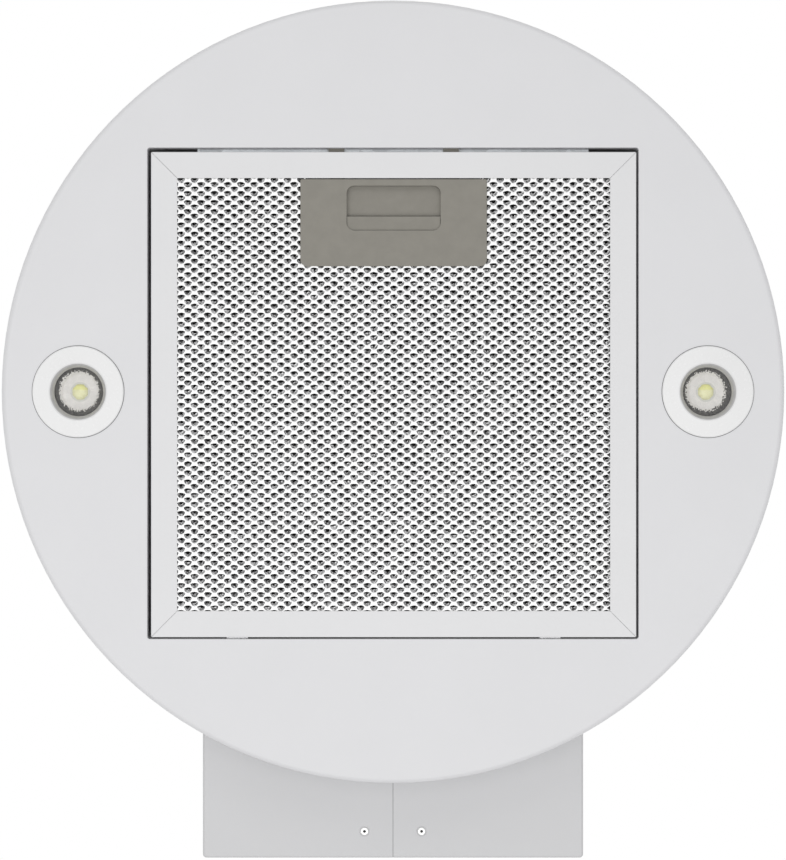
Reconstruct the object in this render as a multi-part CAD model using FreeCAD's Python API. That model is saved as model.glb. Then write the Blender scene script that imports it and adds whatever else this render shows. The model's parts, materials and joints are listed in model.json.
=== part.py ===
import FreeCAD, Part
import math
import os
from FreeCAD import Vector

# An island range hood: a round white canopy under a square telescopic chimney.
# The chimney stands behind the canopy's middle and overhangs its rear edge.
# Millimetres, +Z up, front towards -Y. The origin is the centre of the ceiling
# plate's top face, which is also the centre of the chimney.

# ---------------------------------------------------------------- overall sizes
canopy_diameter = 600.0
canopy_height = 60.0
hang_height = 780.0           # ceiling to the canopy's underside, hood at its lowest
chimney_width = 300.0
chimney_depth = 300.0
chimney_overhang = 66.7       # chimney's rear face behind the canopy's rear edge
lower_chimney_height = 400.0
chimney_overlap = 60.0        # upper chimney inside the lower one, hood at its lowest
height_travel = 200.0         # how far the hood is raised on its frame

# ---------------------------------------------------------------- sheet metal
sheet = 1.0                   # canopy and chimney sheet
rim_bend = 4.0                # outside radius where underside meets rim wall
rim_flange = 12.0             # inward flange at the top of the rim wall
chimney_corner = 3.0          # outside radius of a chimney's upright corners
chimney_foot_bend = 2.0       # outside radius where a chimney wall meets its foot
chimney_foot = 12.0           # inward foot of the lower chimney
foot_on_canopy = 20.0         # how far the rear foot reaches onto the canopy
slide_gap = 1.0               # between lower and upper chimney, each side
seam_gap = 0.3                # between the two halves of a chimney
touch = 0.1                   # clearance of parts that sit against each other

# ---------------------------------------------------------------- ceiling and frame
plate_sheet = 2.5
plate_flange = 25.0
plate_flange_sheet = 2.0
plate_gap = 0.5               # ceiling plate inside the upper chimney
duct_hole_radius = 85.0
anchor_spacing = 190.0
anchor_hole_radius = 4.5
ceiling_gap = 1.0             # upper chimney's top edge under the ceiling
post_leg = 20.0
post_sheet = 2.0
post_inset = 10.0             # lower posts inside the lower chimney's outer face
post_gap = 0.3                # upper posts inside the lower posts
post_overlap = 60.0
lower_post_height = 377.5
bolt_radius = 2.5
bolt_slot_gap = 0.3
bolt_edge = 12.0              # bolt centre from the lower post's outer face
bolt_below_post_top = 30.0
bolt_head_radius = 4.2
bolt_head_height = 3.0
nut_flats = 8.0
nut_height = 4.0
deck_sheet = 1.5
deck_inset = 2.2              # deck edge inside the lower chimney's outer face

# ---------------------------------------------------------------- fasteners
screw_radius = 1.9
screw_head_radius = 3.5
screw_head_height = 2.2
screw_length = 5.5
rim_screw_count = 8
plate_screw_x = 22.0
plate_screw_drop = 15.0       # plate screws below the ceiling
rivet_x = 22.5
rivet_inset = 21.0            # rivets in front of the chimney's rear face
rivet_radius = 1.6
rivet_head_radius = 3.1
rivet_head_height = 1.0
rivet_dimple_radius = 4.25
rivet_dimple_depth = 0.6
strap_width = 40.0
lower_strap_height = 110.0
upper_strap_height = 80.0

# ---------------------------------------------------------------- vents
vent_count = 6
vent_length = 70.0
vent_height = 4.0
vent_pitch = 10.0
vent_drop = 45.0

# ---------------------------------------------------------------- filter and opening
filter_size = 371.5
filter_height = 11.0
filter_play = 4.5             # opening wider than the filter
filter_side_shift = 0.5       # the filter lies this much to the right
filter_rear_shift = 1.0       # and this much to the rear, on its lugs
opening_rear_shift = 1.2      # the opening's middle behind the canopy's middle
opening_corner = 2.0
opening_flange = 25.0
opening_edge_round = 0.8
rail_face = 20.0
rail_sheet = 0.8
rail_edge_round = 0.7
mitre_gap = 0.15
mesh_gap = 0.2
lug_x = 120.0
lug_width = 16.0
lug_sheet = 2.5
lug_rise = 5.0                # underside of a lug above the filter's underside
lug_reach = 2.5               # past the far side of the flange
lug_slot_gap = 1.0
lug_slot_height = 5.0
stop_sheet = 1.2
stop_ledge = 14.0
stop_leg = 10.5
stop_end = 37.5               # stop strip's ends from the opening's sides
stop_gap = 0.4

# ---------------------------------------------------------------- filter handle
handle_width = 142.8
handle_depth = 66.6
handle_gap = 0.8              # handle behind the front rail
handle_height = 9.8
handle_skin = 1.2
handle_rear_corner = 5.0
handle_front_corner = 0.8
pocket_width = 72.0
pocket_depth = 34.3
pocket_front = 5.0            # pocket behind the handle's front edge
pocket_corner = 5.8
pocket_rise = 5.5
tab_depth = 10.5
tab_gap = 0.3
latch_travel = 5.0
latch_sheet = 1.5
latch_half_width = 50.0
tongue_x = 44.0
tongue_width = 12.0
tongue_slot_gap = 1.0
tongue_reach = 2.2
spring_reach = 2.2            # half the width of a latch spring's folds
spring_strip = 0.5
spring_height = 4.0
spring_folds = 12
spring_length = 17.0

# ---------------------------------------------------------------- lamps
lamp_radius = 35.0
lamp_hole_radius = 30.0
lamp_sleeve_radius = 29.5
lamp_window_radius = 21.5
lamp_throat_radius = 18.9
lamp_face_drop = 2.0
lens_thickness = 2.5
sleeve_wall = 2.0
sleeve_height = 16.0
chip_size = 9.0
housing_height = 18.0
fin_count = 8
clip_sheet = 0.6
clip_width = 8.0

# ---------------------------------------------------------------- controls
button_count = 5
button_pitch = 22.0
button_radius = 6.0
button_gap = 0.15
button_flange = 1.5
button_travel = 1.5
fascia_half_angle = 13.5
window_half_angle = 12.0
window_height = 20.0
fascia_height = 26.0
fascia_thickness = 3.3
fascia_recess = 2.0
board_length = 110.0
board_height = 18.0
board_thickness = 1.6
box_length = 160.0
box_depth = 58.0
box_height = 44.0
box_wall = 2.0
box_behind_opening = 22.0     # control box in front of the filter opening
capacitor_radius = 14.0
capacitor_length = 50.0

# ---------------------------------------------------------------- blower
airway_width = 200.0
airway_front = 110.0
airway_rear = 15.0            # ends in front of the lower chimney's rear foot
motor_box_size = 230.0
motor_box_height = 270.0
motor_box_flange = 7.0
blower_axis_height = 130.0    # impeller axis above the deck
scroll_width = 120.0
scroll_wall = 1.5
scroll_start_radius = 93.0
scroll_growth = 8.0
scroll_shift = -12.0
throat_half_width = 72.0
throat_straight = 60.0
inlet_radius = 68.0
impeller_radius = 83.0
impeller_inner_radius = 69.5
impeller_width = 104.0
impeller_x = -10.0
blade_count = 30
shaft_radius = 4.0
shaft_fit = 0.05
motor_radius = 42.0
motor_front = 61.5
motor_rear = 8.0
motor_wall = 2.0
bracket_front = 66.0
bracket_sheet = 2.0
grommet_radius = 6.0
grommet_circle = 78.0

# ---------------------------------------------------------------- outlet
collar_radius = 74.5
collar_wall = 2.0
collar_height = 60.0
collar_flange = 17.5
collar_ledge = 3.5
damper_height = 14.0
damper_sheet = 1.2
damper_pin_radius = 1.2
damper_pin_offset = 5.0
damper_knuckle_radius = 2.4
damper_edge_gap = 1.5
gland_radius = 7.0
gland_bore_radius = 3.5
gland_stem_radius = 5.0
gland_y = -129.0
gland_height = 12.5

# ---------------------------------------------------------------- worked-out levels and places
canopy_radius = canopy_diameter / 2
z_under = -hang_height
z_canopy_top = z_under + canopy_height
z_cover_under = z_canopy_top - sheet
z_deck = z_canopy_top + sheet
z_deck_top = z_deck + deck_sheet
z_lower_top = z_canopy_top + lower_chimney_height
z_upper_foot = z_lower_top - chimney_overlap
canopy_y = chimney_depth / 2 - chimney_overhang - canopy_radius
lower_x = chimney_width / 2
lower_y = chimney_depth / 2
upper_x = lower_x - sheet - slide_gap
upper_y = lower_y - sheet - slide_gap
opening_half = (filter_size + filter_play) / 2
filter_half = filter_size / 2
filter_x = filter_side_shift
opening_y = canopy_y + opening_rear_shift
filter_y = opening_y + filter_rear_shift
filter_front = filter_y - filter_half
filter_rear = filter_y + filter_half
z_filter_top = z_under + filter_height
flange_front = opening_y - opening_half
flange_rear = opening_y + opening_half
lamp_x = (opening_half + canopy_radius - 1.5 * rim_bend) / 2
foot_front = canopy_y + math.sqrt(canopy_radius ** 2 - lower_x ** 2) - foot_on_canopy
lower_post_x = lower_x - post_inset
lower_post_y = lower_y - post_inset
upper_post_x = lower_post_x - post_sheet - post_gap
upper_post_y = lower_post_y - post_sheet - post_gap
z_lower_post_top = z_deck_top + lower_post_height
z_upper_post_foot = z_lower_post_top - post_overlap
z_bolt = z_lower_post_top - bolt_below_post_top
bolt_y = lower_post_y - bolt_edge
blower_z = z_deck_top + blower_axis_height
z_box_roof = z_deck_top + motor_box_height
hole_radius = screw_radius + touch
handle_front = filter_front + rail_face + handle_gap
handle_rear = handle_front + handle_depth
z_pocket = z_under + pocket_rise
z_latch = z_pocket + handle_skin
z_latch_top = z_latch + latch_sheet
rivet_y = lower_y - rivet_inset


# ---------------------------------------------------------------- helpers
def box(x0, x1, y0, y1, z0, z1):
    """A block between two corners."""
    return Part.makeBox(x1 - x0, y1 - y0, z1 - z0, Vector(x0, y0, z0))


def rod(radius, start, end):
    """A round bar from one point to another."""
    along = end - start
    return Part.makeCylinder(radius, along.Length, start, along)


def tube(outer, inner, start, end):
    """A round tube from one point to another."""
    return rod(outer, start, end).cut(rod(inner, start, end))


def upright(edge):
    """True for an edge that runs along Z."""
    ends = edge.Vertexes
    return len(ends) == 2 and abs(ends[0].Z - ends[1].Z) > 1e-4


def prism(half_x, half_y, corner, z0, z1, x=0.0, y=0.0):
    """A block with rounded upright corners."""
    block = box(x - half_x, x + half_x, y - half_y, y + half_y, z0, z1)
    return block.makeFillet(corner, [edge for edge in block.Edges if upright(edge)])


def level_edges(shape, z):
    """The edges of a shape that lie at one height."""
    flat = []
    for edge in shape.Edges:
        if abs(edge.BoundBox.ZMin - z) < 1e-3 and abs(edge.BoundBox.ZMax - z) < 1e-3:
            flat.append(edge)
    return flat


def foot_rounded(shape, z, radius):
    """A shape with the edges at one height rounded."""
    return shape.makeFillet(radius, level_edges(shape, z))


def mirror_x(shape):
    """The shape on the other side of the YZ plane."""
    return shape.mirror(Vector(0, 0, 0), Vector(1, 0, 0))


def mirror_y(shape):
    """The shape on the other side of the XZ plane."""
    return shape.mirror(Vector(0, 0, 0), Vector(0, 1, 0))


def four_corners(shape):
    """A shape and its copies in the other three corners."""
    pair = [shape, mirror_x(shape)]
    return pair + [mirror_y(one) for one in pair]


def screw(seat, inward, length=screw_length):
    """A pan-head screw with a cross recess, its head standing on seat."""
    head = Part.makeCylinder(screw_head_radius, screw_head_height)
    head = foot_rounded(head, screw_head_height, screw_head_height / 3)
    recess = box(-2.0, 2.0, -0.4, 0.4, screw_head_height - 1.2, screw_head_height)
    turned = recess.copy()
    turned.rotate(Vector(0, 0, 0), Vector(0, 0, 1), 90)
    shank = Part.makeCylinder(screw_radius, length, Vector(0, 0, -length))
    body = head.fuse(shank).cut(recess).cut(turned)
    body.Placement = FreeCAD.Placement(seat, FreeCAD.Rotation(Vector(0, 0, -1), inward))
    return body


def sector(outer, inner, z0, z1, half_angle):
    """Part of an upright ring round the canopy's axis, facing the front."""
    base = Vector(0, canopy_y, z0)
    up = Vector(0, 0, 1)
    wedge = Part.makeCylinder(outer, z1 - z0, base, up, 2 * half_angle)
    wedge = wedge.cut(Part.makeCylinder(inner, z1 - z0, base, up))
    wedge.rotate(Vector(0, canopy_y, 0), up, -90 - half_angle)
    return wedge


def save(name, *solids):
    """Write one node's solids to its STEP file."""
    flat = []
    for solid in solids:
        flat.extend(solid.Solids)
    shape = flat[0] if len(flat) == 1 else Part.makeCompound(flat)
    shape.exportStep("parts/" + name + ".step")


# ---------------------------------------------------------------- ceiling plate and frame
def plate_screw_seats(face_y):
    """Where the upper chimney's screws stand, on its front and rear faces."""
    seats = []
    for side in (-1, 1):
        for end in (-1, 1):
            seats.append((Vector(side * plate_screw_x, end * face_y, -plate_screw_drop), Vector(0, -end, 0)))
    return seats


def ceiling_plate():
    half_x = upper_x - sheet - plate_gap
    half_y = upper_y - sheet - plate_gap
    tray = prism(half_x, half_y, chimney_corner, -plate_sheet - plate_flange, 0)
    inside_x = half_x - plate_flange_sheet
    inside_y = half_y - plate_flange_sheet
    tray = tray.cut(prism(inside_x, inside_y, 1.0, -plate_sheet - plate_flange, -plate_sheet))
    tray = tray.cut(rod(duct_hole_radius, Vector(0, 0, -plate_sheet), Vector(0, 0, 0)))
    half = anchor_spacing / 2
    anchor = rod(anchor_hole_radius, Vector(half, half, -plate_sheet), Vector(half, half, 0))
    for hole in four_corners(anchor):
        tray = tray.cut(hole)
    for seat, inward in plate_screw_seats(upper_y):
        tray = tray.cut(rod(hole_radius, seat, seat + inward * (screw_length + 1)))
    return tray


def corner_post(outer_x, outer_y, z0, z1):
    """An angle post in the +X +Y corner."""
    post = box(outer_x - post_leg, outer_x, outer_y - post_leg, outer_y, z0, z1)
    inner_x = outer_x - post_sheet
    inner_y = outer_y - post_sheet
    return post.cut(box(outer_x - post_leg, inner_x, outer_y - post_leg, inner_y, z0, z1))


def upper_posts():
    post = corner_post(upper_post_x, upper_post_y, z_upper_post_foot, -plate_sheet)
    hole = rod(bolt_radius + touch, Vector(upper_post_x - post_sheet, bolt_y, z_bolt),
               Vector(upper_post_x, bolt_y, z_bolt))
    return four_corners(post.cut(hole))


def lower_posts():
    post = corner_post(lower_post_x, lower_post_y, z_deck_top, z_lower_post_top)
    wide = bolt_radius + bolt_slot_gap
    face_x = lower_post_x - post_sheet
    top = rod(wide, Vector(face_x, bolt_y, z_bolt), Vector(lower_post_x, bolt_y, z_bolt))
    foot = top.copy()
    foot.translate(Vector(0, 0, -height_travel))
    middle = box(face_x, lower_post_x, bolt_y - wide, bolt_y + wide, z_bolt - height_travel, z_bolt)
    return four_corners(post.cut(top.fuse([foot, middle])))


def frame_bolts():
    """Hexagon bolts and nuts that clamp the posts; the slot's top end rests on the bolt."""
    head_x = lower_post_x + touch
    nut_x = upper_post_x - post_sheet
    shank = rod(bolt_radius, Vector(nut_x - nut_height - 1, bolt_y, z_bolt), Vector(head_x, bolt_y, z_bolt))
    head = rod(bolt_head_radius, Vector(head_x, bolt_y, z_bolt),
               Vector(head_x + bolt_head_height, bolt_y, z_bolt))
    corners = []
    for step in range(7):
        angle = math.radians(60 * step)
        across = nut_flats / math.sqrt(3)
        corners.append(Vector(nut_x - nut_height, bolt_y + across * math.cos(angle),
                              z_bolt + across * math.sin(angle)))
    nut = Part.Face(Part.makePolygon(corners)).extrude(Vector(nut_height, 0, 0))
    nut = nut.cut(rod(bolt_radius + touch, Vector(nut_x - nut_height, bolt_y, z_bolt),
                      Vector(nut_x, bolt_y, z_bolt)))
    return four_corners(head.fuse(shank)) + four_corners(nut)


# ---------------------------------------------------------------- chimneys
def half_of(shell, side):
    """One half of a chimney, split at its front and rear seams."""
    reach = max(chimney_width, chimney_depth)
    near = seam_gap / 2
    z0 = shell.BoundBox.ZMin - 1
    z1 = shell.BoundBox.ZMax + 1
    keep = box(near, reach, -reach, reach, z0, z1)
    return shell.common(keep if side > 0 else mirror_x(keep))


def upper_chimney():
    z_top = -ceiling_gap
    shell = prism(upper_x, upper_y, chimney_corner, z_upper_foot, z_top)
    shell = shell.cut(prism(upper_x - sheet, upper_y - sheet, chimney_corner - sheet, z_upper_foot, z_top))
    for row in range(vent_count):
        z = -vent_drop - row * vent_pitch
        half = vent_length / 2
        ends = [rod(vent_height / 2, Vector(-upper_x - 1, y, z), Vector(upper_x + 1, y, z)) for y in (-half, half)]
        middle = box(-upper_x - 1, upper_x + 1, -half, half, z - vent_height / 2, z + vent_height / 2)
        shell = shell.cut(middle.fuse(ends))
    for seat, inward in plate_screw_seats(upper_y):
        shell = shell.cut(rod(hole_radius, seat - inward, seat + inward * 2 * sheet))
    return shell


def lower_chimney():
    shell = prism(lower_x, lower_y, chimney_corner, z_canopy_top, z_lower_top)
    shell = foot_rounded(shell, z_canopy_top, chimney_foot_bend)
    inside = prism(lower_x - sheet, lower_y - sheet, chimney_corner - sheet, z_deck, z_lower_top + 1)
    inside = foot_rounded(inside, z_deck, chimney_foot_bend - sheet)
    shell = shell.cut(inside)
    foot_x = lower_x - chimney_foot - sheet
    foot_y = lower_y - chimney_foot - sheet
    shell = shell.cut(box(-foot_x, foot_x, -foot_y, foot_front, z_canopy_top, z_deck))
    for x in (-rivet_x, rivet_x):
        base = Vector(x, rivet_y, z_canopy_top)
        dimple = Part.makeCone(rivet_dimple_radius, rivet_head_radius + touch, rivet_dimple_depth, base)
        shell = shell.cut(dimple).cut(rod(rivet_radius + touch, base, base + Vector(0, 0, sheet)))
    for place in deck_screw_places():
        shell = shell.cut(rod(hole_radius, Vector(place.x, place.y, z_canopy_top), Vector(place.x, place.y, z_deck)))
    return shell


def straps(face_y, z0, z1):
    """The strips behind the front and rear seams of a chimney."""
    rear = box(-strap_width / 2, strap_width / 2, face_y - touch - sheet, face_y - touch, z0, z1)
    return [rear, mirror_y(rear)]


def chimney_rivets():
    """Blind rivets that hold the rear foot to the motor deck, seen from below."""
    rivets = []
    for x in (-rivet_x, rivet_x):
        seat = Vector(x, rivet_y, z_canopy_top + rivet_dimple_depth)
        head = rod(rivet_head_radius, seat - Vector(0, 0, rivet_head_height), seat)
        head = foot_rounded(head, seat.z - rivet_head_height, rivet_head_height / 2)
        shank = rod(rivet_radius, seat, Vector(x, rivet_y, z_deck_top))
        tail = rod(rivet_radius * 1.5, Vector(x, rivet_y, z_deck_top), Vector(x, rivet_y, z_deck_top + 2.5))
        bore_start = seat - Vector(0, 0, rivet_head_height)
        bore = rod(rivet_radius * 0.7, bore_start, bore_start + Vector(0, 0, 2.0))
        rivets.append(head.fuse([shank, tail]).cut(bore))
    return rivets


def deck_screw_places():
    """Deck screws stand on the middle of the lower chimney's foot."""
    foot_x = lower_x - sheet - chimney_foot / 2
    foot_y = lower_y - sheet - chimney_foot / 2
    places = []
    for side in (-1, 1):
        places.append(Vector(side * 60.0, -foot_y, 0))
        places.append(Vector(side * foot_x, -60.0, 0))
        places.append(Vector(side * foot_x, 0.0, 0))
    return places


def airway(z0, z1):
    """The air opening from the canopy into the motor box."""
    return box(-airway_width / 2, airway_width / 2, -airway_front, airway_rear, z0, z1)


def motor_deck():
    deck = prism(lower_x - deck_inset, lower_y - deck_inset, 1.0, z_deck, z_deck_top)
    deck = deck.cut(airway(z_deck, z_deck_top))
    for place in deck_screw_places():
        deck = deck.cut(rod(hole_radius, Vector(place.x, place.y, z_deck), Vector(place.x, place.y, z_deck_top)))
    for x in (-rivet_x, rivet_x):
        deck = deck.cut(rod(rivet_radius + touch, Vector(x, rivet_y, z_deck), Vector(x, rivet_y, z_deck_top)))
    return deck.cut(rod(gland_stem_radius + touch, Vector(0, gland_y, z_deck), Vector(0, gland_y, z_deck_top)))


# ---------------------------------------------------------------- canopy
def rim_screw_places():
    """Rim screws, left out where the chimney stands on the canopy."""
    circle = canopy_radius - sheet - rim_flange / 2
    places = []
    for step in range(rim_screw_count):
        angle = math.radians((step + 0.5) * 360.0 / rim_screw_count)
        x = circle * math.cos(angle)
        y = canopy_y + circle * math.sin(angle)
        clear = screw_head_radius + 1
        if abs(x) > lower_x + clear or y < -lower_y - clear:
            places.append(Vector(x, y, z_canopy_top))
    return places


def canopy_pan():
    centre = Vector(0, canopy_y, z_under)
    wall_top = canopy_height - sheet
    outer = Part.makeCylinder(canopy_radius, wall_top, centre)
    outer = foot_rounded(outer, z_under, rim_bend)
    inner = Part.makeCylinder(canopy_radius - sheet, wall_top - 2 * sheet, centre + Vector(0, 0, sheet))
    inner = foot_rounded(inner, z_under + sheet, rim_bend - sheet)
    mouth = Part.makeCylinder(canopy_radius - sheet - rim_flange, wall_top, centre + Vector(0, 0, 2 * sheet))
    pan = outer.cut(inner).cut(mouth)
    z_flange_top = z_under + opening_flange
    outer_flange = prism(opening_half + sheet, opening_half + sheet, opening_corner + sheet,
                         z_under, z_flange_top, 0, opening_y)
    through = prism(opening_half, opening_half, opening_corner, z_under - 1, z_flange_top + 1, 0, opening_y)
    pan = pan.fuse(outer_flange).cut(through)
    lip = []
    for edge in level_edges(pan, z_under):
        middle = edge.BoundBox.Center
        if abs(middle.x) < opening_half + 1 and abs(middle.y - opening_y) < opening_half + 1:
            lip.append(edge)
    pan = pan.makeFillet(opening_edge_round, lip)
    for side in (-1, 1):
        pan = pan.cut(rod(lamp_hole_radius, Vector(side * lamp_x, canopy_y, z_under - 1),
                          Vector(side * lamp_x, canopy_y, z_under + 2 * sheet)))
        wide = tongue_width / 2 + tongue_slot_gap
        slot_x = filter_x + side * tongue_x
        pan = pan.cut(box(slot_x - wide, slot_x + wide, flange_front - 2 * sheet, flange_front + sheet,
                          z_latch - tongue_slot_gap, z_latch_top + tongue_slot_gap))
        wide = lug_width / 2 + lug_slot_gap
        slot_x = filter_x + side * lug_x
        z_lug = z_under + lug_rise
        pan = pan.cut(box(slot_x - wide, slot_x + wide, flange_rear - sheet, flange_rear + 2 * sheet,
                          z_lug - lug_slot_gap, z_lug + lug_slot_height))
    z_mid = z_under + canopy_height / 2
    pan = pan.cut(sector(canopy_radius + 1, canopy_radius - 2 * sheet, z_mid - window_height / 2,
                         z_mid + window_height / 2, window_half_angle))
    for place in rim_screw_places():
        pan = pan.cut(rod(hole_radius, place - Vector(0, 0, 3 * sheet), place))
    return pan


def canopy_top():
    cover = Part.makeCylinder(canopy_radius, sheet, Vector(0, canopy_y, z_cover_under))
    cover = foot_rounded(cover, z_canopy_top, 0.4 * sheet)
    cover = cover.cut(airway(z_cover_under, z_canopy_top))
    for place in rim_screw_places():
        cover = cover.cut(rod(hole_radius, place - Vector(0, 0, sheet), place))
    for place in deck_screw_places():
        cover = cover.cut(rod(hole_radius, Vector(place.x, place.y, z_cover_under),
                              Vector(place.x, place.y, z_canopy_top)))
    return cover.cut(rod(gland_stem_radius + touch, Vector(0, gland_y, z_cover_under),
                         Vector(0, gland_y, z_canopy_top)))


def canopy_screws():
    down = Vector(0, 0, -1)
    screws = [screw(place, down) for place in rim_screw_places()]
    for place in deck_screw_places():
        screws.append(screw(Vector(place.x, place.y, z_deck_top), down))
    return screws


def filter_stop_strip():
    """Angle strip on the opening's front flange: a ledge just above the filter."""
    half = opening_half - stop_end
    y0 = flange_front + touch
    z0 = z_filter_top + stop_gap
    ledge = box(-half, half, y0, y0 + stop_ledge, z0, z0 + stop_sheet)
    leg = box(-half, half, y0, y0 + stop_sheet, z0, z0 + stop_leg)
    return ledge.fuse(leg).removeSplitter()


# ---------------------------------------------------------------- lamps
def turned(points, x):
    """A solid of revolution round a lamp's axis from radius and height pairs."""
    corners = [Vector(x + radius, canopy_y, z_under + z) for radius, z in points]
    corners.append(corners[0])
    face = Part.Face(Part.makePolygon(corners))
    return face.revolve(Vector(x, canopy_y, z_under), Vector(0, 0, 1), 360)


def lamp_bezel(x):
    shoulder = 2.0 * lamp_face_drop
    inner = lamp_sleeve_radius - sleeve_wall
    return turned([
        (lamp_radius, 0),
        (lamp_radius, -0.4 * lamp_face_drop),
        (lamp_radius - 0.7, -0.7 * lamp_face_drop),
        (lamp_window_radius + 0.9, -lamp_face_drop),
        (lamp_window_radius, -0.75 * lamp_face_drop),
        (lamp_throat_radius, shoulder),
        (lamp_throat_radius, shoulder + 1),
        (inner, shoulder + 1),
        (inner, sleeve_height),
        (lamp_sleeve_radius, sleeve_height),
        (lamp_sleeve_radius, 0),
    ], x)


lens_floor = 2.0 * lamp_face_drop + 1
lens_top = lens_floor + lens_thickness
lamp_inside = lamp_sleeve_radius - sleeve_wall - touch
board_floor = sleeve_height - 2.4
board_top = board_floor + 1.6


def lamp_lens(x):
    return turned([(0, lens_floor), (lamp_inside, lens_floor), (lamp_inside, lens_top), (0, lens_top)], x)


def lamp_reflector(x):
    """A bright cup between the lens and the light board."""
    return turned([
        (lamp_inside, lens_top),
        (lamp_inside, lens_top + 0.8),
        (20.0, lens_top + 0.8),
        (8.2, board_floor),
        (7.4, board_floor),
        (19.2, lens_top),
    ], x)


def led_module(x):
    """Round board with its light chip facing down."""
    board = turned([(0, board_floor), (lamp_inside, board_floor), (lamp_inside, board_top), (0, board_top)], x)
    half = chip_size / 2
    chip = box(x - half, x + half, canopy_y - half, canopy_y + half,
               z_under + board_floor - 0.8, z_under + board_floor)
    return board.fuse(chip)


def lamp_housing(x):
    """Heat sink on the sleeve: a round block with fins cut across its top."""
    top = sleeve_height + housing_height
    body = turned([
        (0, board_top), (20.0, board_top), (20.0, sleeve_height),
        (lamp_sleeve_radius, sleeve_height), (lamp_sleeve_radius, top), (0, top),
    ], x)
    pitch = 2 * lamp_sleeve_radius / fin_count
    for step in range(fin_count):
        slot_x = x - lamp_sleeve_radius + (step + 0.5) * pitch
        slot = box(slot_x - pitch / 4, slot_x + pitch / 4, canopy_y - lamp_radius, canopy_y + lamp_radius,
                   z_under + sleeve_height + 5, z_under + top)
        body = body.cut(slot)
    return body


def lamp_clips(x):
    """Leaf clips in front of and behind a lamp, pressing on the pan."""
    near = lamp_sleeve_radius + touch
    shape = [(near, 3.0), (near, 14.5), (near + clip_sheet, 14.5), (39.0, sheet + clip_sheet + touch),
             (42.0, sheet + clip_sheet + touch), (42.0, sheet + touch), (38.4, sheet + touch),
             (near + clip_sheet, 12.5), (near + clip_sheet, 3.0)]
    corners = [Vector(x - clip_width / 2, canopy_y + y, z_under + z) for y, z in shape]
    corners.append(corners[0])
    rear = Part.Face(Part.makePolygon(corners)).extrude(Vector(clip_width, 0, 0))
    return [rear, rear.mirror(Vector(0, canopy_y, 0), Vector(0, 1, 0))]


# ---------------------------------------------------------------- controls
z_controls = z_under + canopy_height / 2
fascia_radius = canopy_radius - sheet - 2 * touch
button_face_radius = canopy_radius - 2 * touch
fascia_face_radius = canopy_radius - fascia_recess
fascia_back_radius = fascia_radius - fascia_thickness
board_y = canopy_y - fascia_back_radius + 10.5


def round_canopy(shape, angle):
    """A shape made at the front, turned about the canopy's axis."""
    moved = shape.copy()
    moved.rotate(Vector(0, canopy_y, 0), Vector(0, 0, 1), angle)
    return moved


def button_angles():
    step = math.degrees(button_pitch / canopy_radius)
    return [(index - (button_count - 1) / 2) * step for index in range(button_count)]


def front_rod(radius, outer, inner):
    """A bar at the front of the canopy, along its radius."""
    return rod(radius, Vector(0, canopy_y - outer, z_controls), Vector(0, canopy_y - inner, z_controls))


def control_fascia():
    half = fascia_height / 2
    fascia = sector(fascia_radius, fascia_back_radius, z_controls - half, z_controls + half, fascia_half_angle)
    deep = window_height / 2
    fascia = fascia.cut(sector(canopy_radius, fascia_face_radius, z_controls - deep, z_controls + deep,
                               window_half_angle))
    for angle in button_angles():
        hole = front_rod(button_radius + button_gap, canopy_radius, fascia_back_radius - 3)
        fascia = fascia.cut(round_canopy(hole, angle))
    for side in (-1, 1):
        x = side * (board_length / 2 - 1)
        rib = box(x - 2, x + 2, canopy_y - fascia_back_radius - 1, board_y, z_controls - 8, z_controls + 8)
        fascia = fascia.fuse(rib)
    return fascia


def button(angle):
    """A push button with a collar that keeps it behind the fascia."""
    cap = front_rod(button_radius, button_face_radius, fascia_back_radius - touch - button_flange)
    rounded = []
    for edge in cap.Edges:
        if edge.BoundBox.YMax < canopy_y - button_face_radius + 1e-3:
            rounded.append(edge)
    cap = cap.makeFillet(0.6, rounded)
    collar = front_rod(button_radius + 1.5, fascia_back_radius - 3 * touch,
                       fascia_back_radius - 3 * touch - button_flange)
    return round_canopy(cap.fuse(collar), angle)


def button_board():
    """Circuit board behind the buttons, with a switch under each."""
    half = board_length / 2
    board = box(-half, half, board_y, board_y + board_thickness,
                z_controls - board_height / 2, z_controls + board_height / 2)
    pressed = fascia_back_radius - 3 * touch - button_flange - button_travel - 2 * touch
    for angle in button_angles():
        x = canopy_radius * math.sin(math.radians(angle))
        y = canopy_y - (pressed - 1.2) * math.cos(math.radians(angle))
        board = board.fuse(box(x - 3, x + 3, y, board_y, z_controls - 3, z_controls + 3))
    return board


box_rear = flange_front - box_behind_opening
box_front = box_rear - box_depth
z_box = z_under + sheet
z_box_top = z_box + box_height


def control_box():
    half = box_length / 2
    case = box(-half, half, box_front, box_rear, z_box, z_box_top)
    return case.cut(box(-half + box_wall, half - box_wall, box_front + box_wall, box_rear - box_wall,
                        z_box + box_wall, z_box_top))


def control_box_lid():
    half = box_length / 2
    plate = box(-half, half, box_front, box_rear, z_box_top, z_box_top + box_wall)
    inside = box_wall + touch
    plug = box(-half + inside, half - inside, box_front + inside, box_rear - inside,
               z_box_top - box_wall, z_box_top)
    return plate.fuse(plug)


def capacitor():
    y = (box_front + box_rear) / 2
    z = z_box + box_wall + capacitor_radius
    start = Vector(-capacitor_length, y, z)
    can = rod(capacitor_radius, start, start + Vector(capacitor_length, 0, 0))
    stud = rod(4.0, start + Vector(capacitor_length, 0, 0), start + Vector(capacitor_length + 8, 0, 0))
    return can.fuse(stud)


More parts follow.
